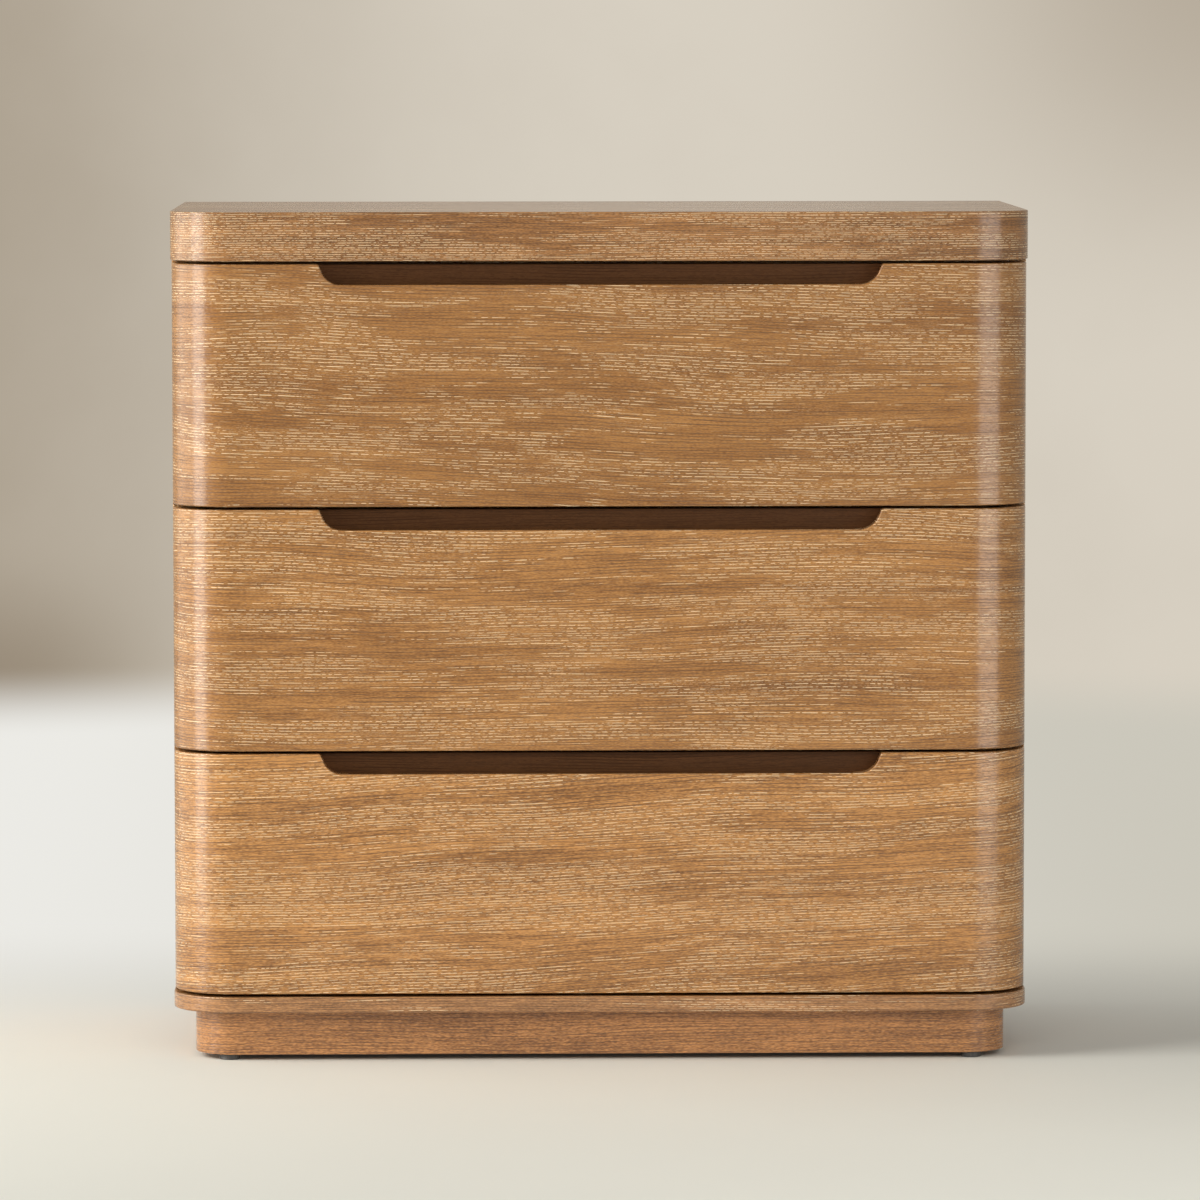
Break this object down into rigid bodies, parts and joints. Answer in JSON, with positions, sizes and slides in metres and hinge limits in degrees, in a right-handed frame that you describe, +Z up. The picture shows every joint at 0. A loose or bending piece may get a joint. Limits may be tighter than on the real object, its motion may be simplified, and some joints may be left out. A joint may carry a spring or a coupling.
{
  "type": "dresser",
  "caption": "Low dresser in limed oak with a thick top, wrap-round drawer fronts with cut-out finger pulls, and a recessed plinth.",
  "frame": {"origin": "on the floor under the middle of the dresser", "axes": "+X to the right of someone facing the drawers, +Y to the back, +Z up"},
  "size_m": [0.914, 0.457, 0.906],
  "materials": {
    "limed_oak": "honey-brown oak with pale pigment in the pores, matt lacquer",
    "plinth_oak": "browner, finer-grained oak veneer, matt lacquer",
    "back_veneer": "thin oak-veneered panel, satin",
    "box_maple": "pale solid wood, clear lacquer",
    "block_pine": "planed softwood, unfinished",
    "zinc_steel": "bright zinc plate",
    "glide_plastic": "moulded matt black"
  },
  "bodies": {
    "case": {"top_panel": "limed_oak", "bottom_board": "limed_oak", "side_panel_left": "limed_oak", "side_panel_right": "limed_oak", "back_panel": "back_veneer", "front_rail_top": "limed_oak", "front_rail_upper": "limed_oak", "front_rail_lower": "limed_oak", "rear_rail_top": "limed_oak", "plinth_front": "plinth_oak", "plinth_side_left": "plinth_oak", "plinth_side_right": "plinth_oak", "plinth_back": "plinth_oak", "corner_block_front_left": "block_pine", "corner_block_front_right": "block_pine", "corner_block_back_left": "block_pine", "corner_block_back_right": "block_pine", "glide_front_left": "glide_plastic", "glide_front_right": "glide_plastic", "glide_back_left": "glide_plastic", "glide_back_right": "glide_plastic", "runner_case_left_lower": "zinc_steel", "runner_case_right_lower": "zinc_steel", "runner_case_left_middle": "zinc_steel", "runner_case_right_middle": "zinc_steel", "runner_case_left_upper": "zinc_steel", "runner_case_right_upper": "zinc_steel"},
    "drawer_upper": {"drawer_front_upper": "limed_oak", "drawer_box_front_upper": "limed_oak", "drawer_side_left_upper": "box_maple", "drawer_side_right_upper": "box_maple", "drawer_back_upper": "box_maple", "drawer_bottom_upper": "box_maple", "runner_drawer_left_upper": "zinc_steel", "runner_drawer_right_upper": "zinc_steel"},
    "runners_upper": {"runner_middle_left_upper": "zinc_steel", "runner_middle_right_upper": "zinc_steel"},
    "drawer_middle": {"drawer_front_middle": "limed_oak", "drawer_box_front_middle": "limed_oak", "drawer_side_left_middle": "box_maple", "drawer_side_right_middle": "box_maple", "drawer_back_middle": "box_maple", "drawer_bottom_middle": "box_maple", "runner_drawer_left_middle": "zinc_steel", "runner_drawer_right_middle": "zinc_steel"},
    "runners_middle": {"runner_middle_left_middle": "zinc_steel", "runner_middle_right_middle": "zinc_steel"},
    "drawer_lower": {"drawer_front_lower": "limed_oak", "drawer_box_front_lower": "limed_oak", "drawer_side_left_lower": "box_maple", "drawer_side_right_lower": "box_maple", "drawer_back_lower": "box_maple", "drawer_bottom_lower": "box_maple", "runner_drawer_left_lower": "zinc_steel", "runner_drawer_right_lower": "zinc_steel"},
    "runners_lower": {"runner_middle_left_lower": "zinc_steel", "runner_middle_right_lower": "zinc_steel"}
  },
  "joints": [
    {"name": "upper_drawer_slide", "type": "slide", "parent": "case", "child": "drawer_upper", "axis": [0, -1, 0], "range_m": [0, 0.33]},
    {"name": "upper_runner_slide", "type": "slide", "parent": "case", "child": "runners_upper", "axis": [0, -1, 0], "range_m": [0, 0.165]},
    {"name": "middle_drawer_slide", "type": "slide", "parent": "case", "child": "drawer_middle", "axis": [0, -1, 0], "range_m": [0, 0.33]},
    {"name": "middle_runner_slide", "type": "slide", "parent": "case", "child": "runners_middle", "axis": [0, -1, 0], "range_m": [0, 0.165]},
    {"name": "lower_drawer_slide", "type": "slide", "parent": "case", "child": "drawer_lower", "axis": [0, -1, 0], "range_m": [0, 0.33]},
    {"name": "lower_runner_slide", "type": "slide", "parent": "case", "child": "runners_lower", "axis": [0, -1, 0], "range_m": [0, 0.165]}
  ],
  "couplings": [
    {"joint": "upper_runner_slide", "follows": "upper_drawer_slide", "ratio": 0.5},
    {"joint": "middle_runner_slide", "follows": "middle_drawer_slide", "ratio": 0.5},
    {"joint": "lower_runner_slide", "follows": "lower_drawer_slide", "ratio": 0.5}
  ]
}
